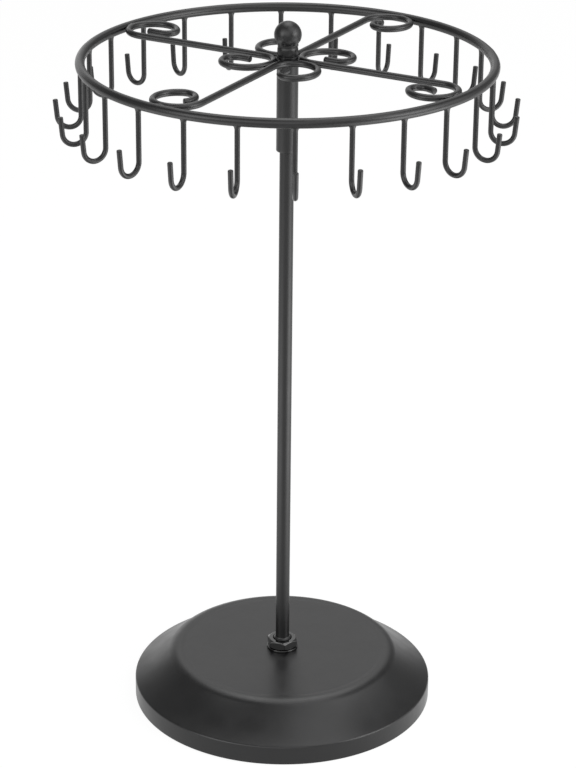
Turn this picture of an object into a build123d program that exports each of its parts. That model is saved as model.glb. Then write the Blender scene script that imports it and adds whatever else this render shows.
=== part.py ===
from build123d import *
import math
import os

# A turning jewelry stand: a weighted round foot, a slim post, and a wire carousel that turns on it.
# Frame: millimetres, +Z up, origin on the ground at the middle of the foot.

# Foot: one dish stamped from sheet steel
base_diameter = 140.0
base_height = 23.4
rim_height = 9.5
rim_lift = 0.6
plateau_diameter = 104.0
shell_wall = 1.2
flange_hollow = 0.8
shoulder_ratio = 0.389
crease_radius = 0.5
lip_width = 3.6
lip_run = 1.8
lip_height = 0.2
lip_blend_radius = 6.0

# Felt pad and iron weight under the dish
pad_thickness = 1.5
pad_margin = 5.0
weight_thickness = 5.0
weight_side_gap = 3.0
weight_boss_diameter = 34.0
nut_pocket_diameter = 21.0

# Hardware that clamps the dish and the weight on the post
stud_diameter = 8.0
thread_clearance = 0.05
hole_clearance = 0.25
nut_across_flats = 13.0
nut_thickness = 4.0
nut_face_diameter = 12.7
nut_chamfer_angle = 30.0
nut_turn = 42.8
top_washer_diameter = 14.5
lower_washer_diameter = 17.0
washer_thickness = 1.0
stud_above_pad = 0.8
stud_below_nut = 0.8
stud_above_nut = 0.4
stud_cone_height = 0.8

# Post
rod_diameter = 6.4
spigot_diameter = 4.0
spigot_length = 3.0
edge_break = 0.3

# Sleeve of the carousel and the cap that it turns on
sleeve_diameter = 9.5
sleeve_wall = 1.5
sleeve_length = 43.2
running_clearance = 0.05
cap_height = 4.9
cap_dome_height = 0.6
cap_bore_depth = 3.2
thrust_gap = 0.1

# Finial turned from bar
shank_length = 5.0
shank_clearance = 0.02
collar_diameter = 9.1
collar_height = 3.6
collar_rounding = 1.2
collar_bulge = 0.3
waist_diameter = 8.2
ball_diameter = 12.0
ball_rise = 9.2

# Ring, scrolls and hooks of round wire
ring_height = 311.5
ring_radius = 89.8
ring_wire = 4.3
scroll_wire = 3.0
scroll_count = 4
scroll_angle = 65.4
root_gap = 0.05
hub_bend_radius = 9.5
outer_bend_radius = 10.7
bead_radius = 1.0
bead_length = 5.0
sleeve_above_scrolls = 0.35
hook_wire = 2.3
hook_count = 24
hook_angle = 5.75
hook_drop = 29.7
hook_bend_radius = 5.2
hook_splay = 5.4
hook_tip_length = 7.9
hook_weld_width = 0.6
hook_weld_height = 1.2
hook_weld_sink = 0.6
wire_end_chamfer = 0.35

# Each curl after its first bend: radius in mm and turn in degrees, from the straight inwards
hub_bend_turn = 95.0
hub_curl = ((11.9, 100.0), (8.8, 67.0), (6.3, 140.0))
outer_bend_turn = 143.0
outer_curl = ((10.2, 105.0), (6.4, 170.0))

# Heights worked out from the sizes above
shell_underside = base_height - shell_wall
top_washer_bottom = base_height
top_nut_bottom = top_washer_bottom + washer_thickness
top_nut_top = top_nut_bottom + nut_thickness
lower_nut_bottom = pad_thickness + stud_above_pad + stud_below_nut
lower_nut_top = lower_nut_bottom + nut_thickness
lower_washer_top = lower_nut_top + washer_thickness
stud_bottom = lower_nut_bottom - stud_below_nut
stud_top = top_nut_top + stud_above_nut
scroll_height = ring_height + (ring_wire - scroll_wire) / 2
sleeve_top = scroll_height + scroll_wire / 2 + sleeve_above_scrolls
sleeve_bottom = sleeve_top - sleeve_length
shank_bottom = sleeve_top - shank_length
cap_bottom = shank_bottom - thrust_gap - cap_height
ball_centre = sleeve_top + ball_rise

# Radii worked out from the sizes above
base_radius = base_diameter / 2
shoulder_radius = shoulder_ratio * (base_diameter - plateau_diameter) / 2
weight_radius = base_radius - shell_wall - weight_side_gap
sleeve_bore = sleeve_diameter / 2 - sleeve_wall
cap_radius = sleeve_bore - running_clearance


def save(piece, name):
    """Label one finished piece and write it as its own file."""
    piece.part.label = name
    export_step(piece.part, f"parts/{name}.step")


def make_base_shell():
    """Stamped dish at one wall thickness: rim band, hollow flange, soft shoulder and flat top in a low lip."""
    plateau_radius = plateau_diameter / 2
    lip_radius = plateau_radius - lip_width
    lip_top = base_height + lip_height
    with BuildPart() as base_shell:
        with BuildSketch(Plane.XZ):
            with BuildLine() as outline:
                rim = Line((base_radius, rim_lift), (base_radius, rim_height))
                flange = SagittaArc(rim @ 1, (plateau_radius, lip_top), flange_hollow)
                lip = Line(flange @ 1, (lip_radius, lip_top))
                run = Line(lip @ 1, (lip_radius - lip_run, base_height))
                Line(run @ 1, (0, base_height))
                fillet(outline.vertices().sort_by_distance(rim @ 1)[0], crease_radius)
                fillet(outline.vertices().sort_by_distance(flange @ 1)[0], shoulder_radius)
                fillet(outline.vertices().sort_by_distance(lip @ 1)[0], lip_blend_radius)
                fillet(outline.vertices().sort_by_distance(run @ 1)[0], lip_blend_radius)
                offset(amount=shell_wall, side=Side.LEFT)
            make_face()
        revolve(axis=Axis.Z)
        with Locations((0, 0, base_height)):
            Hole(stud_diameter / 2 + hole_clearance)
    save(base_shell, "base_shell")


def make_counterweight():
    """Iron disc with a boss up to the dish and a pocket below for the lower nut and washer."""
    with BuildPart() as counterweight:
        with BuildSketch(Plane.XY.offset(pad_thickness)):
            Circle(weight_radius)
        extrude(amount=weight_thickness)
        with BuildSketch(Plane.XY.offset(pad_thickness)):
            Circle(weight_boss_diameter / 2)
        extrude(amount=shell_underside - pad_thickness)
        with BuildSketch(Plane.XY.offset(pad_thickness)):
            Circle(nut_pocket_diameter / 2)
        extrude(amount=lower_washer_top - pad_thickness, mode=Mode.SUBTRACT)
        with Locations((0, 0, shell_underside)):
            Hole(stud_diameter / 2 + hole_clearance)
        outer_edges = counterweight.edges().filter_by(GeomType.CIRCLE).group_by(SortBy.RADIUS)[-1]
        chamfer(outer_edges, edge_break)
    save(counterweight, "counterweight")


def make_base_pad():
    """Felt disc that the whole stand rests on."""
    with BuildPart() as base_pad:
        with BuildSketch():
            Circle(base_radius - pad_margin)
        extrude(amount=pad_thickness)
    save(base_pad, "base_pad")


def make_nut(name, bottom):
    """Hex nut with its corners turned off to a cone on both faces."""
    with BuildPart() as nut:
        with BuildSketch(Plane.XY.offset(bottom)):
            RegularPolygon(nut_across_flats / 2, 6, major_radius=False, rotation=nut_turn)
        extrude(amount=nut_thickness)
        corner_radius = nut_across_flats / math.sqrt(3)
        face_radius = nut_face_diameter / 2
        drop = (corner_radius - face_radius) * math.tan(math.radians(nut_chamfer_angle))
        with BuildSketch(Plane.XZ):
            with BuildLine():
                Polyline(
                    (0, bottom),
                    (face_radius, bottom),
                    (corner_radius, bottom + drop),
                    (corner_radius, bottom + nut_thickness - drop),
                    (face_radius, bottom + nut_thickness),
                    (0, bottom + nut_thickness),
                    close=True,
                )
            make_face()
        revolve(axis=Axis.Z, mode=Mode.INTERSECT)
        with Locations((0, 0, bottom + nut_thickness)):
            Hole(stud_diameter / 2 + thread_clearance)
    save(nut, name)


def make_washer(name, bottom, diameter):
    """Plain washer that fits the stud."""
    with BuildPart() as washer:
        with BuildSketch(Plane.XY.offset(bottom)):
            Circle(diameter / 2)
            Circle(stud_diameter / 2 + hole_clearance, mode=Mode.SUBTRACT)
        extrude(amount=washer_thickness)
    save(washer, name)


def make_post_rod():
    """Threaded stud, cone, plain rod and the small spigot that carries the pivot cap."""
    stud_radius = stud_diameter / 2
    rod_radius = rod_diameter / 2
    spigot_radius = spigot_diameter / 2
    spigot_top = cap_bottom + spigot_length
    with BuildPart() as post_rod:
        with BuildSketch(Plane.XZ):
            with BuildLine():
                Polyline(
                    (0, stud_bottom),
                    (stud_radius - edge_break, stud_bottom),
                    (stud_radius, stud_bottom + edge_break),
                    (stud_radius, stud_top),
                    (rod_radius, stud_top + stud_cone_height),
                    (rod_radius, cap_bottom - edge_break),
                    (rod_radius - edge_break, cap_bottom),
                    (spigot_radius, cap_bottom),
                    (spigot_radius, spigot_top - edge_break),
                    (spigot_radius - edge_break, spigot_top),
                    (0, spigot_top),
                    close=True,
                )
            make_face()
        revolve(axis=Axis.Z)
    save(post_rod, "post_rod")


def make_pivot_cap():
    """Slippery cap on the spigot: it guides the sleeve and its dome carries the shank."""
    cap_top = cap_bottom + cap_height
    dome_radius = (cap_radius**2 + cap_dome_height**2) / (2 * cap_dome_height)
    with BuildPart() as pivot_cap:
        with BuildSketch(Plane.XZ):
            with BuildLine():
                wall = Polyline(
                    (0, cap_bottom),
                    (cap_radius, cap_bottom),
                    (cap_radius, cap_top - cap_dome_height),
                )
                RadiusArc(wall @ 1, (0, cap_top), -dome_radius)
                Line((0, cap_top), (0, cap_bottom))
            make_face()
        revolve(axis=Axis.Z)
        with BuildSketch(Plane.XY.offset(cap_bottom)):
            Circle(spigot_diameter / 2 + shank_clearance)
        extrude(amount=cap_bore_depth, mode=Mode.SUBTRACT)
    save(pivot_cap, "pivot_cap")


def make_sleeve_tube():
    """Plain tube that runs on the post, with its edges broken."""
    with BuildPart() as sleeve_tube:
        with BuildSketch(Plane.XY.offset(sleeve_bottom)):
            Circle(sleeve_diameter / 2)
            Circle(sleeve_bore, mode=Mode.SUBTRACT)
        extrude(amount=sleeve_length)
        outer_edges = sleeve_tube.edges().filter_by(GeomType.CIRCLE).group_by(SortBy.RADIUS)[-1]
        chamfer(outer_edges.sort_by(Axis.Z)[0], edge_break)
    save(sleeve_tube, "sleeve_tube")


def make_finial():
    """Turned finial: shank in the tube, rounded collar, waist and ball."""
    shank_radius = sleeve_bore - shank_clearance
    collar_radius = collar_diameter / 2
    ball_radius = ball_diameter / 2
    waist_radius = waist_diameter / 2
    waist_rise = math.sqrt(ball_radius**2 - waist_radius**2)
    collar_top = sleeve_top + collar_height
    with BuildPart() as finial:
        with BuildSketch(Plane.XZ):
            with BuildLine():
                foot = Polyline(
                    (0, shank_bottom),
                    (shank_radius - edge_break, shank_bottom),
                    (shank_radius, shank_bottom + edge_break),
                    (shank_radius, sleeve_top),
                    (collar_radius, sleeve_top),
                    (collar_radius, collar_top - collar_rounding),
                )
                shoulder = SagittaArc(foot @ 1, (waist_radius, collar_top), -collar_bulge)
                neck = Line(shoulder @ 1, (waist_radius, ball_centre - waist_rise))
                ball = RadiusArc(neck @ 1, (ball_radius, ball_centre), -ball_radius)
                crown = RadiusArc(ball @ 1, (0, ball_centre + ball_radius), -ball_radius)
                Line(crown @ 1, (0, shank_bottom))
            make_face()
        revolve(axis=Axis.Z)
    save(finial, "finial")


def make_ring():
    """Hoop of thicker wire, closed on itself."""
    with BuildPart() as ring:
        with BuildSketch(Plane.XZ):
            with Locations((ring_radius, ring_height)):
                Circle(ring_wire / 2)
        revolve(axis=Axis.Z)
    save(ring, "ring")
    return ring


def curl(straight_end, direction, first_bend, further_bends):
    """Tangent arcs that turn clockwise seen from above, each bend as (radius, turn)."""
    bends = [JernArc(straight_end, direction, first_bend[0], -first_bend[1])]
    for radius, turn in further_bends:
        bends.append(JernArc(bends[-1] @ 1, bends[-1] % 1, radius, -turn))
    return bends


def tack_weld(radius, angle):
    """Short bead with round ends along a circle about the post, at the height of the scroll wires."""
    half_turn = math.degrees(bead_length / 2 / radius)
    with BuildPart(mode=Mode.PRIVATE) as bead:
        with BuildLine(Plane.XY.offset(scroll_height)) as run:
            CenterArc((0, 0), radius, angle - half_turn, 2 * half_turn)
        with BuildSketch(Plane(run.line @ 0, z_dir=run.line % 0)):
            Circle(bead_radius)
        sweep(path=run.line)
        with Locations(run.line @ 0, run.line @ 1):
            Sphere(bead_radius)
    return bead.part


def make_scroll(ring):
    """One S-scroll: a radial straight, an outer curl that bears on the ring and an inner one on the sleeve."""
    wire_radius = scroll_wire / 2
    hub_contact = sleeve_diameter / 2 + root_gap + wire_radius
    ring_contact = ring_radius - ring_wire / 2 - root_gap - wire_radius
    inner_end = math.sqrt((hub_contact + hub_bend_radius) ** 2 - hub_bend_radius**2)
    outer_end = math.sqrt((ring_contact - outer_bend_radius) ** 2 - outer_bend_radius**2)
    hub_weld_angle = math.degrees(math.atan2(hub_bend_radius, inner_end))
    ring_weld_angle = -math.degrees(math.atan2(outer_bend_radius, outer_end))
    with BuildPart() as scroll:
        with BuildLine(Plane.XY.offset(scroll_height)) as path:
            straight = Line((inner_end, 0), (outer_end, 0))
            outer_bend = (outer_bend_radius, outer_bend_turn)
            curl(straight @ 1, straight % 1, outer_bend, outer_curl)
            hub_bend = (hub_bend_radius, hub_bend_turn)
            curl(straight @ 0, -(straight % 0), hub_bend, hub_curl)
        wire = path.wire()
        with BuildSketch(Plane(wire @ 0, z_dir=wire % 0)):
            Circle(wire_radius)
        sweep(path=wire)
        cut_ends = scroll.faces().filter_by(GeomType.PLANE).edges()
        chamfer(cut_ends, wire_end_chamfer)
        add(tack_weld(sleeve_diameter / 2, hub_weld_angle))
        add(tack_weld(ring_radius - ring_wire / 2, ring_weld_angle))
        add(ring.part, mode=Mode.SUBTRACT)
        with BuildSketch(Plane.XY.offset(sleeve_bottom)):
            Circle(sleeve_diameter / 2)
        extrude(amount=sleeve_length, mode=Mode.SUBTRACT)
    return scroll


def make_hook(ring):
    """One J hook: a straight leg coped to the ring's underside, a round bend and a splayed tip."""
    bend_height = ring_height - hook_drop + hook_bend_radius
    wire_radius = hook_wire / 2
    weld_height = ring_height - ring_wire / 2
    with BuildPart() as hook:
        with BuildLine(Plane.XZ) as path:
            leg = Line((ring_radius, ring_height), (ring_radius, bend_height))
            bend = JernArc(leg @ 1, leg % 1, hook_bend_radius, 180 - hook_splay)
            PolarLine(bend @ 1, hook_tip_length, direction=bend % 1)
        wire = path.wire()
        with BuildSketch(Plane(wire @ 0, z_dir=wire % 0)):
            Circle(wire_radius)
        sweep(path=wire)
        tip = hook.faces().filter_by(GeomType.PLANE).sort_by(Axis.X)[-1]
        chamfer(tip.edges(), wire_end_chamfer)
        with BuildSketch(Plane.XZ):
            with BuildLine():
                Polyline(
                    (ring_radius, weld_height - hook_weld_height),
                    (ring_radius + wire_radius, weld_height - hook_weld_height),
                    (ring_radius + wire_radius + hook_weld_width, weld_height),
                    (ring_radius + wire_radius + hook_weld_width, weld_height + hook_weld_sink),
                    (ring_radius, weld_height + hook_weld_sink),
                    close=True,
                )
            make_face()
        revolve(axis=Axis((ring_radius, 0, 0), (0, 0, 1)))
        add(ring.part, mode=Mode.SUBTRACT)
    return hook


def place_around(piece, stem, count, first_angle):
    """Write a number of copies of one piece, evenly spaced about the post."""
    digits = len(str(count))
    for number in range(count):
        with BuildPart() as copy:
            add(piece.part, rotation=(0, 0, first_angle + number * 360 / count))
        save(copy, f"{stem}_{number + 1:0{digits}d}")


os.makedirs("parts", exist_ok=True)
make_base_shell()
make_counterweight()
make_base_pad()
make_washer("top_washer", top_washer_bottom, top_washer_diameter)
make_nut("top_nut", top_nut_bottom)
make_washer("lower_washer", lower_nut_top, lower_washer_diameter)
make_nut("lower_nut", lower_nut_bottom)
make_post_rod()
make_pivot_cap()
make_sleeve_tube()
make_finial()
ring = make_ring()
place_around(make_scroll(ring), "scroll", scroll_count, scroll_angle)
place_around(make_hook(ring), "hook", hook_count, hook_angle)
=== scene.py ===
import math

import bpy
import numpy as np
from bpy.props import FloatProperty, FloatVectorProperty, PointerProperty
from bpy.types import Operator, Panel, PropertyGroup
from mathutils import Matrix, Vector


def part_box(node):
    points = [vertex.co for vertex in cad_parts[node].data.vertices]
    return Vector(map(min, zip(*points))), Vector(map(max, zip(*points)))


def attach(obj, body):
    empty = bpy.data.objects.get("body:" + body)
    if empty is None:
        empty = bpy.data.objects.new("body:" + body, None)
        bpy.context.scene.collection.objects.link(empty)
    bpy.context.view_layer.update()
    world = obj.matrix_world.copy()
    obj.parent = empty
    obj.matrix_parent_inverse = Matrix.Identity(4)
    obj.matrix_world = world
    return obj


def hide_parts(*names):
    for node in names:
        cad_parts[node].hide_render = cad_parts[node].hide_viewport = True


bl_info = {
    "name": "Turning Jewelry Stand",
    "version": (1, 0, 0),
    "blender": (4, 5, 0),
    "location": "3D View > Sidebar > Jewelry Stand",
    "description": "Builds a powder-coated jewelry stand: weighted foot, post, and a turning ring of hooks",
    "category": "Add Mesh",
}

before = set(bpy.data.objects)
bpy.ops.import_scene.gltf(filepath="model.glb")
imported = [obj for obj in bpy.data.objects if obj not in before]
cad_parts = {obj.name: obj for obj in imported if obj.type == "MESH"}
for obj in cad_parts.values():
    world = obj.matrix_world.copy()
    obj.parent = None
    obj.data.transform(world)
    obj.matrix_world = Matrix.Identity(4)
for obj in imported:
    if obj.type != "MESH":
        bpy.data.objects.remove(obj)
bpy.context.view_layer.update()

# Everything is in metres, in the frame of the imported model; small sizes are written in millimetres
MM = 0.001

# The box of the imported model, and of the nodes whose sizes the new surfaces take over
BASE_LOW, BASE_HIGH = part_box("base_shell")
PAD_LOW, PAD_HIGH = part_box("base_pad")
POST_LOW, POST_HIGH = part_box("post_rod")
CAP_LOW, CAP_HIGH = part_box("pivot_cap")
SLEEVE_LOW, SLEEVE_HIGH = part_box("sleeve_tube")
FINIAL_LOW, FINIAL_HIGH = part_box("finial")
RING_LOW, RING_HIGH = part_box("ring")
SCROLL_LOW, SCROLL_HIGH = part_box("scroll_1")

PLATEAU_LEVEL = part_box("top_washer")[0].z
NUT_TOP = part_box("top_nut")[1].z
POST_RADIUS = CAP_HIGH.x
SLEEVE_RADIUS = SLEEVE_HIGH.x
RING_WIRE = (RING_HIGH.z - RING_LOW.z) / 2
RING_LEVEL = (RING_HIGH.z + RING_LOW.z) / 2
RING_RADIUS = RING_HIGH.x - RING_WIRE
SCROLL_WIRE = (SCROLL_HIGH.z - SCROLL_LOW.z) / 2
SCROLL_LEVEL = (SCROLL_HIGH.z + SCROLL_LOW.z) / 2
HOOK_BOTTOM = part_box("hook_01")[0].z
SCROLL_NODES = sorted(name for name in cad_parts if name.startswith("scroll_"))
HOOK_NODES = sorted(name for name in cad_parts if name.startswith("hook_"))

# Radius at which the profile of a solid turned piece starts, with a fan over the rest
POLE = 0.2 * MM

# Gaps between pieces: a hole over the thread, the sleeve on the post, and the thread in its nut
HOLE_CLEARANCE = 0.25 * MM
RUNNING_CLEARANCE = 0.05 * MM
THREAD_CLEARANCE = 0.05 * MM

# Bends of one scroll wire from the straight to each tip, as (radius in mm, turn in degrees)
HUB_BENDS = ((9.5, 95.0), (11.9, 100.0), (8.8, 67.0), (5.4, 98.0), (40.0, 7.2))
RING_BEND = (10.7, 143.0)

# The rest of the curl at the ring, which the hand bent a little differently on each of the four scrolls
RING_CURLS = (
    ((10.2, 105.0), (6.4, 90.0), (3.2, 112.0)),
    ((10.9, 105.0), (4.6, 112.0), (60.0, 6.5)),
    ((10.2, 105.0), (7.0, 154.0)),
    ((10.2, 105.0), (4.6, 135.0), (40.0, 6.5)),
)

# Rows and columns of the surfaces
WIRE_STEP = 0.6 * MM
WIRE_COLUMNS = 24
FOOT_COLUMNS = 192
SMALL_COLUMNS = 96
NUT_COLUMNS = 144
THREAD_COLUMNS = 64
HOOP_ROWS, HOOP_COLUMNS = 720, 32
BEAD_ROWS, BEAD_COLUMNS = 40, 20
HOOK_COLUMNS = 20
FLARE_ROWS = 8
ROUNDING_ROWS = 6


def linear(value):
    """One channel from display value to linear light, by the sRGB curve."""
    return value / 12.92 if value <= 0.04045 else ((value + 0.055) / 1.055) ** 2.4


def hex_colour(code):
    """Linear red, green and blue of a colour written as six hex digits."""
    return tuple(linear(int(code[start : start + 2], 16) / 255) for start in (0, 2, 4))


def length_property(name, description, millimetres):
    """A length that the user can change."""
    return FloatProperty(name=name, description=description, default=millimetres * MM, unit="LENGTH")


def angle_property(name, description, degrees):
    """An angle that the user can change."""
    return FloatProperty(name=name, description=description, default=math.radians(degrees), subtype="ANGLE")


def colour_property(name, description, code):
    """A colour that the user can change."""
    return FloatVectorProperty(name=name, description=description, default=hex_colour(code), subtype="COLOR")


def light_property(name, description, default):
    """A brightness that the user can change."""
    return FloatProperty(name=name, description=description, default=default, min=0.0)


class FootSizes(PropertyGroup):
    """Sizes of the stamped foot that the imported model's box doesn't give."""

    plateau_radius: length_property(
        "Plateau radius", "Where the flat top would meet the flange if the shoulder were sharp", 52
    )
    rim_height: length_property("Rim height", "Height of the crease between the rim band and the flange", 9.5)
    flange_hollow: length_property("Flange hollow", "How far the flange sinks below a straight slope", 0.8)
    shoulder_rounding: length_property(
        "Shoulder rounding", "Radius between the lip round the flat top and the flange", 7
    )
    lip_height: length_property(
        "Lip height", "Rise of the low lip that the press leaves round the flat top", 0.2
    )
    lip_width: length_property("Lip width", "Width of the lip's crest up to the plateau radius", 3.6)
    lip_run: length_property("Lip run", "Width of the slope from the flat top up to the lip", 1.8)
    crease_rounding: length_property("Crease rounding", "Radius between the flange and the rim band", 1.1)
    wall: length_property("Wall", "Thickness of the steel sheet", 1.2)


class HardwareSizes(PropertyGroup):
    """Sizes of the nut, washer and thread."""

    across_flats: length_property("Across flats", "Width of the hex nut between two flats", 13)
    face_diameter: length_property(
        "Face diameter", "Diameter of the flat ring on the nut's faces, inside the chamfer", 12.4
    )
    nut_turn: angle_property("Nut turn", "Angle of one flat about the post", 12.8)
    stud_diameter: length_property(
        "Thread diameter", "Outside diameter of the thread at the foot of the post", 8
    )
    thread_pitch: length_property("Thread pitch", "Rise of the thread in one turn", 1.25)
    thread_depth: length_property("Thread depth", "Depth of the thread's groove", 0.6)


class WireSizes(PropertyGroup):
    """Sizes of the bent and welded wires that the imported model's box doesn't give."""

    hook_wire: length_property("Hook wire", "Diameter of the hook wire", 2.3)
    hook_bend: length_property("Hook bend", "Radius of the hook's bend at the middle of the wire", 5.2)
    hook_splay: angle_property("Hook splay", "How far the tip leans outwards from upright", 5.4)
    hook_tip: length_property("Hook tip", "Length of the straight tip after the bend", 7.9)
    hook_phase: angle_property("Hook phase", "Angle of the first hook about the post", 5.75)
    weld_flare: length_property(
        "Weld flare", "How far the weld spreads beyond the hook wire where it meets the ring", 0.75
    )
    scroll_phase: angle_property("Scroll phase", "Angle of the first scroll's straight about the post", 65.4)
    end_rounding: length_property(
        "End rounding", "Radius that the coating leaves round each cut wire end", 0.4
    )


class FinialSizes(PropertyGroup):
    """Sizes of the turned ball and its neck."""

    ball_diameter: length_property("Ball diameter", "Diameter of the ball", 12)
    waist_diameter: length_property("Waist diameter", "Narrowest diameter, just under the ball", 8.6)
    collar_diameter: length_property("Collar diameter", "Diameter of the collar on the sleeve", 9.1)
    collar_height: length_property("Collar height", "Height of the collar above the sleeve", 3.6)


class FinishColours(PropertyGroup):
    """Base colours of the finishes."""

    powder_coat: colour_property("Powder coat", "Colour of the satin powder coat", "0d0d0e")
    hardware: colour_property("Hardware", "Colour of the black plated nuts and washers", "09090a")
    felt: colour_property("Felt", "Colour of the needled felt under the foot", "242426")
    iron: colour_property("Cast iron", "Colour of the weight inside the foot", "5a5855")
    acetal: colour_property("Acetal", "Colour of the pivot cap inside the sleeve", "dedbd2")


class StudioSettings(PropertyGroup):
    """Brightness of the studio, where 1 is the white of the background."""

    boxes: light_property("Soft boxes", "Factor on the brightness of all soft boxes", 1.0)
    walls: light_property("Walls", "Factor on the brightness of the walls in reflections", 1.0)
    floor: light_property("Floor", "Factor on the brightness of the floor in reflections", 1.0)
    fill: light_property("Fill", "Even light from all sides on matt surfaces", 0.3)


# The studio that the satin metal mirrors. Angles are in degrees: azimuth 0 is the viewer's side, 90 the right

# Camera: lens and film in mm, angles round the post, down and about its own axis, and its place before them
LENS, FILM = 121.85, 36
CAMERA_AZIMUTH, CAMERA_PITCH, CAMERA_ROLL = 3.57, 23.18, 0.56
CAMERA_PLACE = (1.5 * MM, -1090 * MM, 626 * MM)

# Soft boxes: azimuth, elevation, distance in m, width and height in m, brightness; they face this height
AIM_LEVEL = 200 * MM
BOXES = {
    "right_box": (67, 17, 1.6, 0.9, 0.9, 4.2),
    "left_box": (-46, 17, 1.6, 0.7, 0.9, 2.4),
    "ceiling_box": (56, 57, 1.5, 1.1, 1.1, 1.5),
}

# Walls on an even room: azimuth, elevation, half angle of the bright middle and of the whole, brightness
ROOM = 0.35
WALLS = {
    "back_wall": (180, 36, 8, 27, 0.62),
    "back_window": (180, 69, 8, 30, 2.8),
    "back_left_wall": (-157, 3, 6, 24, 1.0),
    "right_wall": (90, 20, 8, 38, 1.2),
    "overhead": (10, 84, 5, 22, 0.15),
    "front_wall": (0, 24, 8, 35, 1.5),
    "left_front_wall": (-45, 30, 8, 32, 1.2),
}

# Floor: half its width in m, and for matt surfaces and for the camera its own glow and its paint's whiteness
FLOOR_REACH = 3.0
MATT_FLOOR, SEEN_FLOOR = (0.0, 0.8), (0.945, 0.12)
WHITE = (1, 1, 1, 1)

# Pools of light on even paper: x and y in m, radius of the bright middle and of the whole in m, brightness
PAPER = 1.0
POOLS = {
    "right_pool": (0.6, -0.2, 0.1, 0.5, 4.0),
    "left_pool": (-0.4, -0.25, 0.1, 0.4, 1.5),
    "near_pool": (0.22, -0.1, 0.03, 0.22, 0.8),
}


def add_node(tree, kind, settings, inputs):
    """Add one node, set its own settings, and fill each named input with a value or a link."""
    node = tree.nodes.new(kind)
    for name, value in settings.items():
        setattr(node, name, value)
    for name, value in inputs.items():
        if isinstance(value, bpy.types.NodeSocket):
            tree.links.new(value, node.inputs[name])
        else:
            node.inputs[name].default_value = value
    return node


def empty_tree(owner):
    """The cleared node tree of a material or a world."""
    owner.use_nodes = True
    owner.node_tree.nodes.clear()
    return owner.node_tree


def new_material(name):
    """An empty node material with its tree and the object's own coordinates."""
    material = bpy.data.materials.new(name)
    tree = empty_tree(material)
    return material, tree, add_node(tree, "ShaderNodeTexCoord", {}, {}).outputs["Object"]


def close_material(material, tree, inputs):
    """The same material with its shader, each input of which is a value or a link."""
    shader = add_node(tree, "ShaderNodeBsdfPrincipled", {}, inputs)
    add_node(tree, "ShaderNodeOutputMaterial", {}, {"Surface": shader.outputs["BSDF"]})
    return material


def shaded(colour, factor):
    """A colour of four channels, darker or lighter than the given one by a factor."""
    return (*[factor * channel for channel in colour], 1)


def powder_coat(colour):
    """Satin black polyester powder, sprayed dry and baked: it levels into a faint orange peel."""
    material, tree, place = new_material("satin_powder_coat")
    pattern = {"Vector": place, "Scale": 1 / (1.4 * MM), "Detail": 2.0, "Roughness": 0.4}
    peel = add_node(tree, "ShaderNodeTexNoise", {}, pattern)
    relief = {"Strength": 0.35, "Distance": 0.03 * MM, "Height": peel.outputs["Fac"]}
    bump = add_node(tree, "ShaderNodeBump", {}, relief)
    pattern = {"Vector": place, "Scale": 1 / (9 * MM), "Detail": 3.0, "Roughness": 0.55}
    cloud = add_node(tree, "ShaderNodeTexNoise", {}, pattern)
    gloss = {"Value": cloud.outputs["Fac"], "From Min": 0.3, "From Max": 0.7, "To Min": 0.31, "To Max": 0.38}
    sheen = add_node(tree, "ShaderNodeMapRange", {}, gloss)
    surface = {
        "Base Color": shaded(colour, 1),
        "IOR": 1.5,
        "Roughness": sheen.outputs["Result"],
        "Normal": bump.outputs["Normal"],
    }
    return close_material(material, tree, surface)


def plated_hardware(colour):
    """Black zinc plating on steel: glossier than the coat, with a faint grain that breaks its mirror.

    The grain is drawn coarser than the real one, so that it shows.
    """
    material, tree, place = new_material("black_zinc_plating")
    pattern = {"Vector": place, "Scale": 1 / (0.5 * MM), "Detail": 3.0, "Roughness": 0.6}
    grain = add_node(tree, "ShaderNodeTexNoise", {}, pattern)
    gloss = {"Value": grain.outputs["Fac"], "To Min": 0.04, "To Max": 0.08}
    sheen = add_node(tree, "ShaderNodeMapRange", {}, gloss)
    relief = {"Strength": 0.3, "Distance": 0.02 * MM, "Height": grain.outputs["Fac"]}
    bump = add_node(tree, "ShaderNodeBump", {}, relief)
    surface = {
        "Base Color": shaded(colour, 1),
        "IOR": 1.75,
        "Roughness": sheen.outputs["Result"],
        "Normal": bump.outputs["Normal"],
    }
    return close_material(material, tree, surface)


def needled_felt(colour):
    """Needled wool felt: a matt mat of crossing fibres with a soft edge of fuzz.

    The fibres are drawn far thicker than real wool, so that they show.
    """
    material, tree, place = new_material("needled_felt")
    pattern = {"Vector": place, "Scale": 1 / (0.8 * MM), "Detail": 6.0, "Roughness": 0.75, "Distortion": 1.5}
    fibre = add_node(tree, "ShaderNodeTexNoise", {}, pattern)
    tones = {"Factor": fibre.outputs["Fac"], 6: shaded(colour, 0.6), 7: shaded(colour, 1.6)}
    shade = add_node(tree, "ShaderNodeMix", {"data_type": "RGBA"}, tones)
    relief = {"Strength": 0.8, "Distance": 0.25 * MM, "Height": fibre.outputs["Fac"]}
    bump = add_node(tree, "ShaderNodeBump", {}, relief)
    surface = {
        "Base Color": shade.outputs[2],
        "Roughness": 0.95,
        "Sheen Weight": 0.25,
        "Sheen Roughness": 0.5,
        "Normal": bump.outputs["Normal"],
    }
    return close_material(material, tree, surface)


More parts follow.
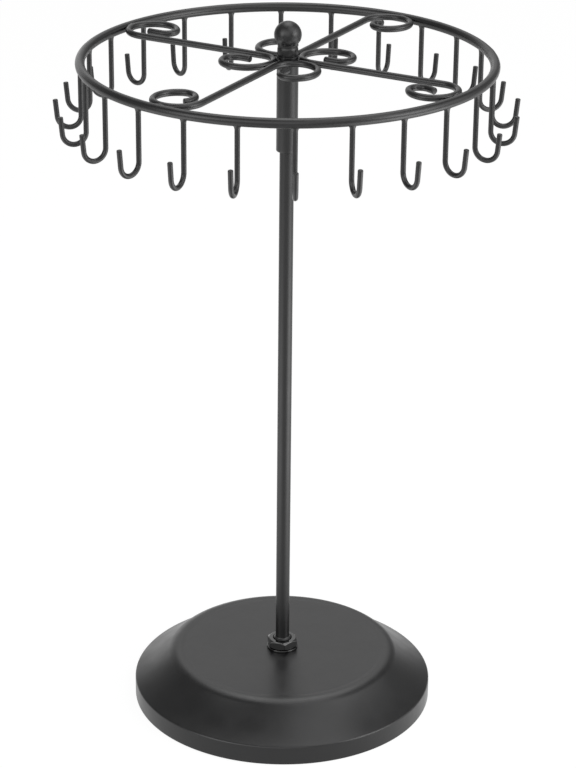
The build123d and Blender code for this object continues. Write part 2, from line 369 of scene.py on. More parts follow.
def cast_iron(colour):
    """Grey iron as it leaves a sand mould: dull, with darker scale and grain drawn coarser than the sand."""
    material, tree, place = new_material("sand_cast_iron")
    pattern = {"Vector": place, "Scale": 1 / (0.7 * MM), "Detail": 5.0, "Roughness": 0.65}
    sand = add_node(tree, "ShaderNodeTexNoise", {}, pattern)
    tones = {"Factor": sand.outputs["Fac"], 6: shaded(colour, 0.5), 7: shaded(colour, 1.3)}
    shade = add_node(tree, "ShaderNodeMix", {"data_type": "RGBA"}, tones)
    relief = {"Strength": 0.7, "Distance": 0.15 * MM, "Height": sand.outputs["Fac"]}
    bump = add_node(tree, "ShaderNodeBump", {}, relief)
    surface = {
        "Base Color": shade.outputs[2],
        "Metallic": 0.7,
        "Roughness": 0.7,
        "Normal": bump.outputs["Normal"],
    }
    return close_material(material, tree, surface)


def turned_acetal(colour):
    """Natural acetal turned on a lathe: milky, slightly waxy, with fine rings from the tool.

    A wave repeats every 0.314 / scale, so the rings lie 0.38 mm apart, coarser than real ones, to show.
    """
    material, tree, place = new_material("turned_acetal")
    pattern = {"Vector": place, "Scale": 1 / (1.2 * MM), "Distortion": 0.3}
    rings = add_node(tree, "ShaderNodeTexWave", {"bands_direction": "Z"}, pattern)
    relief = {"Strength": 0.2, "Distance": 0.02 * MM, "Height": rings.outputs["Fac"]}
    bump = add_node(tree, "ShaderNodeBump", {}, relief)
    surface = {
        "Base Color": shaded(colour, 1),
        "IOR": 1.48,
        "Roughness": 0.38,
        "Normal": bump.outputs["Normal"],
    }
    return close_material(material, tree, surface)


# Each slot of the record with its finish and that finish's colour
FINISHES = {
    "powder_coat": (powder_coat, "powder_coat"),
    "black_hardware": (plated_hardware, "hardware"),
    "felt": (needled_felt, "felt"),
    "raw_iron": (cast_iron, "iron"),
    "acetal": (turned_acetal, "acetal"),
}


def finish(context, slot):
    """The material of one slot of the record, made when it is first asked for."""
    made = context.scene.get("finish_" + slot)
    if made is None:
        make, colour = FINISHES[slot]
        made = make(tuple(getattr(context.scene.stand_colours, colour)))
        context.scene["finish_" + slot] = made
    return made


def add_surface(name, points, form):
    """Mesh object from a grid of points: each cell is a quad between its four neighbours.

    A sheet stays open. A rod joins its last column to its first and gets a fan at both ends, to the mean of
    the row there. A loop joins its last column and its last row to the first.
    """
    rows, columns = points.shape[:2]
    number = np.arange(rows * columns).reshape(rows, columns)
    if form == "loop":
        number = np.vstack((number, number[:1]))
    if form in ("loop", "rod"):
        number = np.hstack((number, number[:, :1]))
    quads = np.stack((number[:-1, :-1], number[:-1, 1:], number[1:, 1:], number[1:, :-1]), axis=-1)
    faces = quads.reshape(-1, 4).tolist()
    vertices = points.reshape(-1, 3)
    for row in (0, -1) if form == "rod" else ():
        tip = len(vertices)
        vertices = np.vstack((vertices, points[row].mean(axis=0)))
        line = number[row]
        pair = (line[1:], line[:-1]) if row == 0 else (line[:-1], line[1:])
        faces += np.stack((*pair, np.full(len(line) - 1, tip)), axis=-1).tolist()
    mesh = bpy.data.meshes.new(name)
    mesh.from_pydata(vertices.tolist(), [], faces)
    mesh.update()
    mesh.shade_smooth()
    thing = bpy.data.objects.new(name, mesh)
    bpy.context.scene.collection.objects.link(thing)
    return thing


def place(context, thing, slot, body, *nodes):
    """Give a piece its finish, let it move with its body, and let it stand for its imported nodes."""
    thing.data.materials.append(finish(context, slot))
    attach(thing, body)
    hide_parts(*nodes)


def sharpen(thing, angle):
    """Keep shading breaks at edges that turn by more than an angle in degrees."""
    thing.data.set_sharp_from_angle(angle=math.radians(angle))


def rounded_outline(corners, closed):
    """Outline through corners (x, y, rounding), with a true arc in place of each rounded corner.

    An arc starts one tangent length, rounding / tan(half the corner's angle), before its corner.
    """
    places = np.array([corner[:2] for corner in corners], float)
    outline = []
    for index, (corner, radius) in enumerate(zip(places, [corner[2] for corner in corners])):
        end = not closed and index in (0, len(corners) - 1)
        if end or radius == 0:
            outline.append(corner[None])
            continue
        before = places[index - 1] - corner
        after = places[(index + 1) % len(places)] - corner
        before /= np.linalg.norm(before)
        after /= np.linalg.norm(after)
        half = math.acos(np.clip(before @ after, -1, 1)) / 2
        bisector = (before + after) / np.linalg.norm(before + after)
        centre = corner + bisector * radius / math.sin(half)
        first = corner + before * radius / math.tan(half) - centre
        last = corner + after * radius / math.tan(half) - centre
        sweep = math.pi - 2 * half
        share = np.linspace(0, 1, ROUNDING_ROWS + 1)[:, None]
        outline.append(
            centre + (np.sin((1 - share) * sweep) * first + np.sin(share * sweep) * last) / math.sin(sweep)
        )
    return np.vstack(outline)


def resampled(outline, spacing, closed=False):
    """The same outline with extra points, so that no two neighbours are further apart than the spacing."""
    if closed:
        outline = np.vstack((outline, outline[:1]))
    length = np.concatenate(([0], np.cumsum(np.linalg.norm(np.diff(outline, axis=0), axis=1))))
    keep = np.concatenate(([True], np.diff(length) > 1e-9))
    wanted = np.union1d(length[keep], np.arange(0, length[-1], spacing))
    result = np.stack([np.interp(wanted, length[keep], outline[keep, axis]) for axis in (0, 1)], axis=1)
    return result[:-1] if closed else result


def turned(profile, columns):
    """Surface of revolution: point(i, j) = (r(i) cos a(j), r(i) sin a(j), z(i))."""
    angle = np.linspace(0, 2 * math.pi, columns, endpoint=False)
    radius, height = profile[:, 0, None], profile[:, 1, None]
    return np.stack((radius * np.cos(angle), radius * np.sin(angle), height + 0 * angle), axis=-1)


def bent_line(bends, heading, anchor, anchor_length):
    """Flat centreline of a bent wire: its heading turns evenly along each bend of (length, turn).

    A point is the running sum of (cos, sin) of the heading times the step, moved so that the point at
    anchor_length lands on the anchor. It gives the lengths, the points and the headings.
    """
    lengths = np.concatenate(([0], np.cumsum([length for length, turn in bends])))
    headings = heading + np.concatenate(([0], np.cumsum([turn for length, turn in bends])))
    run = np.union1d(np.linspace(0, lengths[-1], int(lengths[-1] / (WIRE_STEP / 8))), lengths)
    angle = np.interp(run, lengths, headings)
    middle = (angle[1:] + angle[:-1]) / 2
    steps = np.diff(run)[:, None] * np.stack((np.cos(middle), np.sin(middle)), axis=1)
    points = np.vstack(((0, 0), np.cumsum(steps, axis=0)))
    shift = [np.interp(anchor_length, run, points[:, axis]) for axis in (0, 1)]
    return run, points - shift + np.array(anchor), angle


def wire_rows(length, rounding):
    """Lengths along a wire where its rings lie, closer together over the rounding at both ends."""
    turn = np.linspace(0, math.pi / 2, ROUNDING_ROWS)
    head = rounding * (1 - np.cos(turn))
    middle = np.linspace(rounding, length - rounding, int(length / WIRE_STEP))[1:-1]
    return np.concatenate((head, middle, length - head[::-1]))


def end_radius(rows, length, radius, rounding):
    """Radius along a wire with rounded ends: radius - e + sqrt(e^2 - (e - d)^2), d from the nearer end."""
    inside = np.minimum(np.minimum(rows, length - rows), rounding)
    return radius - rounding + np.sqrt(np.maximum(rounding**2 - (rounding - inside) ** 2, 0))


def swept(line, rows, radius, across, columns=WIRE_COLUMNS):
    """Round section carried along a flat centreline.

    point(i, j) = centre(i) + radius(i) * (cos a(j) * left(i) + sin a(j) * up), in (x, y, up) of the
    flat centreline's plane, whose three axes are the rows of across.
    """
    run, points, angle = line
    centre = np.stack([np.interp(rows, run, points[:, axis]) for axis in (0, 1)], axis=1)
    heading = np.interp(rows, run, angle)
    turn = np.linspace(0, 2 * math.pi, columns, endpoint=False)
    reach = radius[:, None] * np.cos(turn)
    x = centre[:, 0, None] - np.sin(heading)[:, None] * reach
    y = centre[:, 1, None] + np.cos(heading)[:, None] * reach
    up = radius[:, None] * np.sin(turn)
    return np.stack((x, y, up), axis=-1) @ across


def about_post(points, angle):
    """The same points turned about the post."""
    turn = np.array(Matrix.Rotation(angle, 3, "Z"))
    return points @ turn.T


class STAND_OT_foot(Operator):
    """Add the stamped steel foot and the felt pad under it, and finish the weight inside"""

    bl_idname = "stand.foot"
    bl_label = "Foot"

    def execute(self, context):
        sizes = context.scene.stand_foot
        hardware = context.scene.stand_hardware
        bore = hardware.stud_diameter / 2 + HOLE_CLEARANCE
        outline = self.shell_outline(sizes, BASE_HIGH.x, BASE_LOW.z, PLATEAU_LEVEL, bore)
        shell = add_surface("foot_shell", turned(outline, FOOT_COLUMNS), "loop")
        place(context, shell, "powder_coat", "base", "base_shell")

        pole, edge = 0.5 * MM, 0.4 * MM
        pad_profile = rounded_outline(
            [
                (pole, PAD_LOW.z, 0),
                (PAD_HIGH.x, PAD_LOW.z, edge),
                (PAD_HIGH.x, PAD_HIGH.z, edge),
                (pole, PAD_HIGH.z, 0),
            ],
            closed=False,
        )
        pad = add_surface("felt_pad", turned(resampled(pad_profile, 4 * MM), FOOT_COLUMNS), "rod")
        place(context, pad, "felt", "base", "base_pad")
        for node, slot in (("counterweight", "raw_iron"), ("pivot_cap", "acetal")):
            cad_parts[node].data.materials.clear()
            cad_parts[node].data.materials.append(finish(context, slot))
        return {"FINISHED"}

    def shell_outline(self, sizes, radius, low, plateau, bore):
        """Closed outline of the sheet: crease, hollow flange, shoulder, lip, flat top, then inside and rim.

        The flange is a circle's arc that sinks by the hollow below its chord. A rounding between that arc
        and a straight side is a circle whose centre lies its own radius inside the side, and the sum of both
        radii from the arc's centre.
        """
        lip = plateau + sizes.lip_height
        foot, head = np.array((radius, sizes.rim_height)), np.array((sizes.plateau_radius, lip))
        chord = np.linalg.norm(head - foot)
        reach = chord**2 / (8 * sizes.flange_hollow) + sizes.flange_hollow / 2
        outwards = np.array((head[1] - foot[1], foot[0] - head[0])) / chord
        centre = (foot + head) / 2 + outwards * (reach - sizes.flange_hollow)

        def arc(middle, size, start, end, count):
            turn = np.linspace(start, end, count)
            return middle + size * np.stack((np.cos(turn), np.sin(turn)), axis=1)

        crease, shoulder = sizes.crease_rounding, sizes.shoulder_rounding
        across = radius - crease - centre[0]
        crease_middle = np.array((radius - crease, centre[1] - math.sqrt((reach + crease) ** 2 - across**2)))
        rise = lip - shoulder - centre[1]
        shoulder_middle = np.array((centre[0] - math.sqrt((reach + shoulder) ** 2 - rise**2), lip - shoulder))
        crease_turn = math.atan2(*(centre - crease_middle)[::-1])
        shoulder_turn = math.atan2(*(centre - shoulder_middle)[::-1])
        lip_radius = sizes.plateau_radius - sizes.lip_width
        inside, underside = radius - sizes.wall, plateau - sizes.wall
        join, lip_rounding, cut_edge, punched_edge = 0.02 * MM, 6 * MM, 0.3 * MM, 0.2 * MM
        top = rounded_outline(
            [
                (shoulder_middle[0] - join, lip, 0),
                (lip_radius, lip, lip_rounding),
                (lip_radius - sizes.lip_run, plateau, lip_rounding),
                (bore, plateau, punched_edge),
                (bore, underside, punched_edge),
                (sizes.plateau_radius - 1.5 * MM, underside, 4 * MM),
                (inside - 0.4 * MM, sizes.rim_height - sizes.wall, 1 * MM),
                (inside, sizes.rim_height - 2.5 * MM, 1 * MM),
                (inside, low, cut_edge),
                (radius - sizes.wall / 2, low, 0),
                (radius, low, cut_edge),
                (radius, crease_middle[1] - join, 0),
            ],
            closed=False,
        )
        outline = np.vstack(
            (
                arc(crease_middle, crease, 0, crease_turn, 9),
                arc(centre, reach, crease_turn + math.pi, shoulder_turn + math.pi, 40),
                arc(shoulder_middle, shoulder, shoulder_turn, math.pi / 2, 24),
                top,
            )
        )
        return resampled(outline, 0.8 * MM, closed=True)


class STAND_OT_hardware(Operator):
    """Add the two hex nuts and the two washers that clamp the foot on the post"""

    bl_idname = "stand.hardware"
    bl_label = "Nuts and washers"

    def execute(self, context):
        sizes = context.scene.stand_hardware
        for name in ("top_nut", "lower_nut"):
            low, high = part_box(name)
            nut = add_surface(name + "_hex", self.nut(sizes, low.z, high.z), "loop")
            bevel = nut.modifiers.new("edge_break", "BEVEL")
            bevel.width = 0.3 * MM
            bevel.segments = 3
            bevel.angle_limit = math.radians(24)
            bevel.harden_normals = True
            sharpen(nut, 35)
            place(context, nut, "black_hardware", "base", name)
        for name in ("top_washer", "lower_washer"):
            low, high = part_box(name)
            bore = sizes.stud_diameter / 2 + HOLE_CLEARANCE
            profile = rounded_outline(
                [
                    (bore, low.z, 0.1 * MM),
                    (high.x, low.z, 0.2 * MM),
                    (high.x, high.z, 0.18 * MM),
                    (bore, high.z, 0.1 * MM),
                ],
                closed=True,
            )
            washer = add_surface(name + "_disc", turned(profile, SMALL_COLUMNS), "loop")
            place(context, washer, "black_hardware", "base", name)
        return {"FINISHED"}

    def nut(self, sizes, low, high):
        """Hex nut: across flats / 2 / cos of the angle from the nearest flat, cut back by a 30 degree cone.

        At each angle the profile runs up the bore, over the face, down the cone and along the flat.
        """
        angle = np.linspace(0, 2 * math.pi, NUT_COLUMNS, endpoint=False)
        sector, cone = math.radians(60), math.radians(30)
        off_flat = (angle + sector / 2) % sector - sector / 2
        side = sizes.across_flats / 2 / np.cos(off_flat)
        face = sizes.face_diameter / 2
        bore = sizes.stud_diameter / 2 + THREAD_CLEARANCE
        drop = (side - face) * math.tan(cone)
        chamfer = 0.5 * MM
        radii = (bore, bore, bore + chamfer, face, side, side, face, bore + chamfer)
        heights = (low + chamfer, high - chamfer, high, high, high - drop, low + drop, low, low)
        radius = np.stack([value + 0 * angle for value in radii])
        height = np.stack([value + 0 * angle for value in heights])
        turn = angle + sizes.nut_turn
        return np.stack((radius * np.cos(turn), radius * np.sin(turn), height), axis=-1)[::-1]


class STAND_OT_post(Operator):
    """Add the post with its threaded foot"""

    bl_idname = "stand.post"
    bl_label = "Post"

    def execute(self, context):
        sizes = context.scene.stand_hardware
        stud = sizes.stud_diameter / 2
        stud_top = NUT_TOP + 0.1 * MM
        spigot = 2 * MM
        corners = [
            (POLE, POST_LOW.z, 0),
            (stud, POST_LOW.z, 0.4 * MM),
            (stud, stud_top, 0.15 * MM),
            (POST_RADIUS, stud_top + 0.5 * MM, 0.8 * MM),
            (POST_RADIUS, CAP_LOW.z, 0.3 * MM),
            (spigot, CAP_LOW.z, 0),
            (spigot, POST_HIGH.z, 0.3 * MM),
            (POLE, POST_HIGH.z, 0),
        ]
        outline = rounded_outline(corners, closed=False)
        upper = outline[outline[:, 1] > NUT_TOP]
        lower = resampled(outline[outline[:, 1] <= NUT_TOP], 1 * MM)
        threaded = np.arange(POST_LOW.z + 0.5 * MM, NUT_TOP, sizes.thread_pitch / 10)
        start = lower[lower[:, 1] < threaded[0]]
        profile = np.vstack((start, np.stack((stud + 0 * threaded, threaded), axis=1), upper))
        post = add_surface("post", self.threaded(sizes, profile, POST_LOW.z, NUT_TOP), "rod")
        sharpen(post, 40)
        place(context, post, "powder_coat", "base", "post_rod")
        return {"FINISHED"}

    def threaded(self, sizes, profile, low, high):
        """Turned profile with a groove cut into it: its depth times a triangle wave of z / pitch - a / 2 pi.

        The groove runs out over one pitch at both ends of the thread.
        """
        angle = np.linspace(0, 2 * math.pi, THREAD_COLUMNS, endpoint=False)
        height = profile[:, 1, None] + 0 * angle
        wave = (height / sizes.thread_pitch - angle / (2 * math.pi)) % 1
        groove = 1 - np.abs(2 * wave - 1)
        fade = np.clip(np.minimum(height - low, high - height) / sizes.thread_pitch, 0, 1)
        radius = profile[:, 0, None] - sizes.thread_depth * groove * fade
        return np.stack((radius * np.cos(angle), radius * np.sin(angle), height), axis=-1)


class STAND_OT_sleeve(Operator):
    """Add the sleeve that turns on the post and the turned ball finial on it"""

    bl_idname = "stand.sleeve"
    bl_label = "Sleeve and finial"

    def execute(self, context):
        bore = POST_RADIUS + RUNNING_CLEARANCE
        profile = rounded_outline(
            [
                (bore, SLEEVE_LOW.z, 0.2 * MM),
                (SLEEVE_RADIUS, SLEEVE_LOW.z, 0.45 * MM),
                (SLEEVE_RADIUS, SLEEVE_HIGH.z, 0.15 * MM),
                (bore, SLEEVE_HIGH.z, 0),
            ],
            closed=True,
        )
        tube = turned(resampled(profile, 3 * MM, closed=True), SMALL_COLUMNS)
        sleeve = add_surface("sleeve", tube, "loop")
        place(context, sleeve, "powder_coat", "carousel", "sleeve_tube")

        ball = turned(self.finial_profile(context.scene.stand_finial, bore), SMALL_COLUMNS)
        finial = add_surface("ball_finial", ball, "rod")
        place(context, finial, "powder_coat", "carousel", "finial")
        return {"FINISHED"}

    def finial_profile(self, sizes, bore):
        """Shank, collar and waist by straight lines with rounded corners, then the ball as a circular arc."""
        ball = sizes.ball_diameter / 2
        centre = FINIAL_HIGH.z - ball
        waist = sizes.waist_diameter / 2
        collar = sizes.collar_diameter / 2
        collar_top = SLEEVE_HIGH.z + sizes.collar_height
        start = math.acos(waist / ball)
        arc = np.linspace(-start, math.pi / 2, 40)[:, None]
        sphere = np.hstack((ball * np.cos(arc), centre + ball * np.sin(arc)))
        shank = bore - 0.02 * MM
        neck = rounded_outline(
            [
                (POLE, FINIAL_LOW.z, 0),
                (shank, FINIAL_LOW.z, 0.3 * MM),
                (shank, SLEEVE_HIGH.z, 0),
                (collar, SLEEVE_HIGH.z, 0.1 * MM),
                (collar, collar_top, 2.0 * MM),
                (waist, collar_top + 0.3 * MM, 0.3 * MM),
                (waist, sphere[0, 1], 0.9 * MM),
                (*sphere[6], 0),
            ],
            closed=False,
        )
        return np.vstack((neck, sphere[7:-1]))


class STAND_OT_ring(Operator):
    """Add the hoop of thicker wire"""

    bl_idname = "stand.ring"
    bl_label = "Ring"

    def execute(self, context):
        ring = add_surface("hoop", self.hoop(), "loop")
        place(context, ring, "powder_coat", "carousel", "ring")
        return {"FINISHED"}

    def hoop(self):
        """Torus whose wire swells at its butt weld, by swell * exp(-(arc from the weld / width)^2)."""
        angle = np.linspace(0, 2 * math.pi, HOOP_ROWS, endpoint=False)[:, None]
        turn = np.linspace(0, 2 * math.pi, HOOP_COLUMNS, endpoint=False)
        weld_angle, swell, width = math.radians(13), 0.03, 2.5 * MM
        arc = ((angle - weld_angle + math.pi) % (2 * math.pi) - math.pi) * RING_RADIUS
        wire = RING_WIRE * (1 + swell * np.exp(-((arc / width) ** 2)))
        radius = RING_RADIUS + wire * np.cos(turn)
        height = RING_LEVEL + wire * np.sin(turn)
        return np.stack((radius * np.cos(angle), radius * np.sin(angle), height), axis=-1)[::-1]


class STAND_OT_scrolls(Operator):
    """Add the four S-scrolls between the sleeve and the ring, with their weld beads"""

    bl_idname = "stand.scrolls"
    bl_label = "Scrolls"

    def execute(self, context):
        sizes = context.scene.stand_wires
        count = len(SCROLL_NODES)
        for index, node in enumerate(SCROLL_NODES):
            angle = sizes.scroll_phase + index * 2 * math.pi / count
            line, hub_weld, ring_weld = self.centreline(RING_CURLS[index])
            length = line[0][-1]
            rows = wire_rows(length, sizes.end_rounding)
            radius = end_radius(rows, length, SCROLL_WIRE, sizes.end_rounding)
            wire = swept(line, rows, radius, np.eye(3)) + np.array((0, 0, SCROLL_LEVEL))
            scroll = add_surface(node + "_wire", about_post(wire, angle), "rod")
            place(context, scroll, "powder_coat", "carousel", node)
            welds = ((SLEEVE_RADIUS, hub_weld, "hub"), (RING_RADIUS - RING_WIRE, ring_weld, "ring"))
            for bead_radius, bead_angle, end in welds:
                points = about_post(self.bead(bead_radius, bead_angle), angle)
                place(context, add_surface(f"{node}_{end}_weld", points, "rod"), "powder_coat", "carousel")
        return {"FINISHED"}

    def centreline(self, curl):
        """Flat line of one scroll whose straight lies along +X, with the angles of its welds about the post.

        The straight is the tangent that two circles share: one touches the sleeve, the other the ring. A
        circle of radius b whose centre is d from the post touches the straight at sqrt(d^2 - b^2).
        """
        hub_bends = [(radius * MM, math.radians(turn)) for radius, turn in HUB_BENDS]
        ring_bends = [(radius * MM, math.radians(turn)) for radius, turn in (RING_BEND, *curl)]
        hub_radius, ring_radius = hub_bends[0][0], ring_bends[0][0]
        gap = 0.05 * MM
        inner = math.sqrt((SLEEVE_RADIUS + gap + SCROLL_WIRE + hub_radius) ** 2 - hub_radius**2)
        outer = math.sqrt((RING_RADIUS - RING_WIRE - gap - SCROLL_WIRE - ring_radius) ** 2 - ring_radius**2)
        bends = [(radius * turn, turn) for radius, turn in reversed(hub_bends)]
        bends.append((outer - inner, 0))
        bends += [(radius * turn, -turn) for radius, turn in ring_bends]
        heading = -sum(turn for radius, turn in hub_bends)
        hub_length = sum(radius * turn for radius, turn in hub_bends)
        line = bent_line(bends, heading, (inner, 0), hub_length)
        return line, math.atan2(hub_radius, inner), -math.atan2(ring_radius, outer)

    def bead(self, radius, angle):
        """Weld bead: a rod along a circle about the post, rippled and with a half ellipse at both ends.

        Its radius is size * sqrt(1 - t^2) * (1 + ripple * cos(ripples * t)) for t from -1 to 1 along it,
        and it is a little taller than wide.
        """
        size, half_length, ripple, ripples, tallness = 1.05 * MM, 3.2 * MM, 0.06, 9, 1.2
        share = np.sin(np.linspace(-math.pi / 2, math.pi / 2, BEAD_ROWS + 2)[1:-1])[:, None]
        turn = np.linspace(0, 2 * math.pi, BEAD_COLUMNS, endpoint=False)
        thick = size * np.sqrt(1 - share**2) * (1 + ripple * np.cos(ripples * share))
        around = angle + share * half_length / radius
        reach = radius + thick * np.cos(turn)
        height = SCROLL_LEVEL + tallness * thick * np.sin(turn)
        return np.stack((reach * np.cos(around), reach * np.sin(around), height), axis=-1)[::-1]


class STAND_OT_hooks(Operator):
    """Add the J hooks welded under the ring"""

    bl_idname = "stand.hooks"
    bl_label = "Hooks"

    def execute(self, context):
        sizes = context.scene.stand_wires
        hook = self.hook(sizes)
        count = len(HOOK_NODES)
        for index, node in enumerate(HOOK_NODES):
            angle = sizes.hook_phase + index * 2 * math.pi / count
            piece = add_surface(node + "_wire", about_post(hook, angle), "rod")
            place(context, piece, "powder_coat", "carousel", node)
        return {"FINISHED"}

    def hook(self, sizes):
        """One hook on the +X side: a flared weld on the ring, a straight leg, a bend and a splayed tip."""
        wire = sizes.hook_wire / 2
        bend_level = HOOK_BOTTOM + wire + sizes.hook_bend
        flare_height = 1.6 * MM
        leg_top = RING_LEVEL - RING_WIRE - flare_height
        turn = math.pi - sizes.hook_splay
        bends = [(leg_top - bend_level, 0), (sizes.hook_bend * turn, turn), (sizes.hook_tip, 0)]
        line = bent_line(bends, -math.pi / 2, (RING_RADIUS, leg_top), 0)
        length = line[0][-1]
        rows = wire_rows(length, sizes.end_rounding)[ROUNDING_ROWS:]
        radius = end_radius(rows, length, wire, sizes.end_rounding)
        upright = np.array(((1, 0, 0), (0, 0, 1), (0, -1, 0)))
        shank = swept(line, rows, radius, upright, HOOK_COLUMNS)
        return np.vstack((self.flare(wire, sizes.weld_flare, leg_top, shank.shape[1]), shank))

    def flare(self, wire, spread, leg_top, columns):
        """Weld between leg and ring: a quarter ellipse from the leg's side to the ring's underside.

        The section widens by spread * (1 - cos q) while its height climbs by sin q to the height at which
        the ring's own circle lies over that point. The first row is a narrow seat inside the ring's wire.
        """
        turn = np.linspace(0, 2 * math.pi, columns, endpoint=False)
        quarter = np.linspace(math.pi / 2, 0, FLARE_ROWS)[:, None]
        section = wire + spread * (1 - np.cos(quarter))
        widest = (wire + spread) * np.cos(turn)
        overlap = 0.05 * MM
        under = RING_LEVEL - np.sqrt(RING_WIRE**2 - widest**2) + overlap
        height = leg_top + (under - leg_top) * np.sin(quarter)
        seat_section, seat_level = 0.3 * wire, RING_LEVEL - 0.4 * RING_WIRE
        section = np.vstack((np.full((1, 1), seat_section), section))
        height = np.vstack((np.full((1, columns), seat_level), height))
        return np.stack((RING_RADIUS + section * np.cos(turn), -section * np.sin(turn), height), axis=-1)


class STAND_OT_stage(Operator):
    """Add the white floor, the lamps, the surroundings and the camera"""

    bl_idname = "stand.stage"
    bl_label = "Studio"

    def execute(self, context):
        settings = context.scene.stand_studio
        self.camera(context)
        self.floor(settings)
        self.world(context, settings)
        middle = Vector((0, 0, AIM_LEVEL))
        for name, (azimuth, elevation, distance, width, height, brightness) in BOXES.items():
            light = bpy.data.lights.new(name, "AREA")
            light.shape = "RECTANGLE"
            light.size, light.size_y = width, height
            light.energy = brightness * settings.boxes * math.pi * width * height
            lamp = bpy.data.objects.new(name, light)
            away = self.direction(azimuth, elevation)
            lamp.location = middle + away * distance
            lamp.rotation_euler = (-away).to_track_quat("-Z", "Y").to_euler()
            lamp.visible_camera = False
            context.scene.collection.objects.link(lamp)
        context.scene.view_settings.view_transform = "Standard"
        return {"FINISHED"}

    def direction(self, azimuth, elevation):
        """Unit vector from angles in degrees: azimuth 0 is the viewer's side and 90 the right."""
        turn, rise = math.radians(azimuth), math.radians(elevation)
        return Vector((math.sin(turn) * math.cos(rise), -math.cos(turn) * math.cos(rise), math.sin(rise)))

    def camera(self, context):
        """A long lens 1.1 m in front of the post that looks down on the stand."""
        data = bpy.data.cameras.new("camera")
        data.lens, data.sensor_width = LENS, FILM
        data.clip_start, data.clip_end = 0.1, 20
        camera = bpy.data.objects.new("camera", data)
        azimuth, pitch, roll = (math.radians(angle) for angle in (CAMERA_AZIMUTH, CAMERA_PITCH, CAMERA_ROLL))
        around = Matrix.Rotation(azimuth, 3, "Z")
        camera.location = around @ Vector(CAMERA_PLACE)
        tilt = Matrix.Rotation(math.pi / 2 - pitch, 3, "X") @ Matrix.Rotation(roll, 3, "Z")
        camera.rotation_euler = (around @ tilt).to_euler()
        context.scene.collection.objects.link(camera)
        context.scene.camera = camera

    def floor(self, settings):
        """Wide white floor: nearly its own white to the camera, with a faint shadow.

        Matt surfaces get its light back, and the satin metal mirrors the pools of light on it. Each pool's
        brightness falls off smoothly with the distance from its middle.
        """
        side = np.linspace(-FLOOR_REACH, FLOOR_REACH, 3)
        x, y = np.meshgrid(side, side)
        floor = add_surface("floor", np.stack((x, y, 0 * x), axis=-1), "sheet")
        material, tree, place = new_material("white_paint")
        pools = []
        for x, y, inner, outer, brightness in POOLS.values():
            ends = {0: place, 1: (x, y, 0)}
            away = add_node(tree, "ShaderNodeVectorMath", {"operation": "DISTANCE"}, ends)
            pools.append(self.smooth_fall(tree, away.outputs["Value"], outer, inner, brightness))
        glow = self.total(tree, PAPER, pools, settings.floor)
        mirrored = add_node(tree, "ShaderNodeEmission", {}, {"Color": WHITE, "Strength": glow})
        matt, seen = (self.glowing_paint(tree, *shares) for shares in (MATT_FLOOR, SEEN_FLOOR))
        surface = self.by_ray(tree, matt, mirrored.outputs[0], seen)
        add_node(tree, "ShaderNodeOutputMaterial", {}, {"Surface": surface})
        floor.data.materials.append(material)

    def world(self, context, settings):
        """White to the camera, an even fill on matt surfaces, and a room with bright walls in reflections.

        Each wall's brightness falls off smoothly with the angle from its middle.
        """
        world = bpy.data.worlds.new("studio")
        tree = empty_tree(world)
        toward = add_node(tree, "ShaderNodeTexCoord", {}, {}).outputs["Generated"]
        walls = []
        for azimuth, elevation, inner, outer, brightness in WALLS.values():
            ends = {0: toward, 1: self.direction(azimuth, elevation)}
            facing = add_node(tree, "ShaderNodeVectorMath", {"operation": "DOT_PRODUCT"}, ends)
            edges = [math.cos(math.radians(angle)) for angle in (outer, inner)]
            walls.append(self.smooth_fall(tree, facing.outputs["Value"], *edges, brightness))
        glow = self.total(tree, ROOM, walls, settings.walls)
        lights = [
            add_node(tree, "ShaderNodeBackground", {}, {"Color": WHITE, "Strength": strength}).outputs[0]
            for strength in (settings.fill, glow, 1.0)
        ]
        add_node(tree, "ShaderNodeOutputWorld", {}, {"Surface": self.by_ray(tree, *lights)})
        context.scene.world = world

    def smooth_fall(self, tree, value, outer, inner, brightness):
        """Brightness that rises smoothly from nothing at one value to its whole at another."""
        fall = {"Value": value, "From Min": outer, "From Max": inner, "To Min": 0.0, "To Max": brightness}
        return add_node(
            tree, "ShaderNodeMapRange", {"interpolation_type": "SMOOTHSTEP"}, fall
        ).outputs["Result"]

    def total(self, tree, even, parts, factor):
        """Sum of an even brightness and all parts, times one factor."""
        total = even
        for part in parts:
            total = add_node(tree, "ShaderNodeMath", {"operation": "ADD"}, {0: total, 1: part}).outputs[0]
        return add_node(tree, "ShaderNodeMath", {"operation": "MULTIPLY"}, {0: total, 1: factor}).outputs[0]

    def glowing_paint(self, tree, glow, paint):
        """White that gives off one share of its brightness and takes another from the light on it."""
        given = add_node(tree, "ShaderNodeEmission", {}, {"Color": WHITE, "Strength": glow})
        taken = add_node(tree, "ShaderNodeBsdfDiffuse", {}, {"Color": (paint, paint, paint, 1)})
        both = add_node(tree, "ShaderNodeAddShader", {}, {0: given.outputs[0], 1: taken.outputs[0]})
        return both.outputs[0]

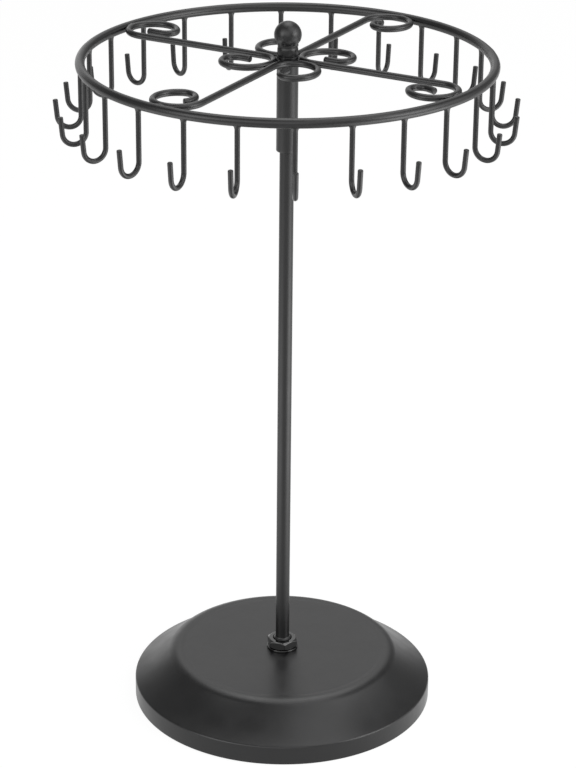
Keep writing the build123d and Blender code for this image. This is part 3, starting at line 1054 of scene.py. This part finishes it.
    def by_ray(self, tree, matt, mirrored, seen):
        """One shader for light on matt surfaces, one for reflections, one for the camera and clear things."""
        rays = add_node(tree, "ShaderNodeLightPath", {}, {}).outputs
        direct = {0: rays["Is Camera Ray"], 1: rays["Is Transmission Ray"]}
        either = add_node(tree, "ShaderNodeMath", {"operation": "MAXIMUM"}, direct).outputs[0]
        lit = {"Fac": rays["Is Glossy Ray"], 1: matt, 2: mirrored}
        unseen = add_node(tree, "ShaderNodeMixShader", {}, lit).outputs[0]
        return add_node(tree, "ShaderNodeMixShader", {}, {"Fac": either, 1: unseen, 2: seen}).outputs[0]


class STAND_PT_panel(Panel):
    """Sidebar panel with the steps in order and the sizes that they read"""

    bl_idname = "STAND_PT_panel"
    bl_label = "Jewelry Stand"
    bl_space_type = "VIEW_3D"
    bl_region_type = "UI"
    bl_category = "Jewelry Stand"

    def draw(self, context):
        layout = self.layout
        for operator in OPERATORS:
            layout.operator(operator.bl_idname)
        for name, group in GROUPS.items():
            box = layout.box()
            for setting in group.__annotations__:
                box.prop(getattr(context.scene, name), setting)


OPERATORS = (
    STAND_OT_foot,
    STAND_OT_hardware,
    STAND_OT_post,
    STAND_OT_sleeve,
    STAND_OT_ring,
    STAND_OT_scrolls,
    STAND_OT_hooks,
    STAND_OT_stage,
)
GROUPS = {
    "stand_foot": FootSizes,
    "stand_hardware": HardwareSizes,
    "stand_wires": WireSizes,
    "stand_finial": FinialSizes,
    "stand_colours": FinishColours,
    "stand_studio": StudioSettings,
}


def register():
    for group in GROUPS.values():
        bpy.utils.register_class(group)
    for name, group in GROUPS.items():
        setattr(bpy.types.Scene, name, PointerProperty(type=group))
    for operator in OPERATORS:
        bpy.utils.register_class(operator)
    bpy.utils.register_class(STAND_PT_panel)


def unregister():
    bpy.utils.unregister_class(STAND_PT_panel)
    for operator in reversed(OPERATORS):
        bpy.utils.unregister_class(operator)
    for name in GROUPS:
        delattr(bpy.types.Scene, name)
    for group in reversed(GROUPS.values()):
        bpy.utils.unregister_class(group)


def main():
    register()
    bpy.ops.stand.foot()
    bpy.ops.stand.hardware()
    bpy.ops.stand.post()
    bpy.ops.stand.sleeve()
    bpy.ops.stand.ring()
    bpy.ops.stand.scrolls()
    bpy.ops.stand.hooks()
    bpy.ops.stand.stage()


if __name__ == "__main__":
    main()
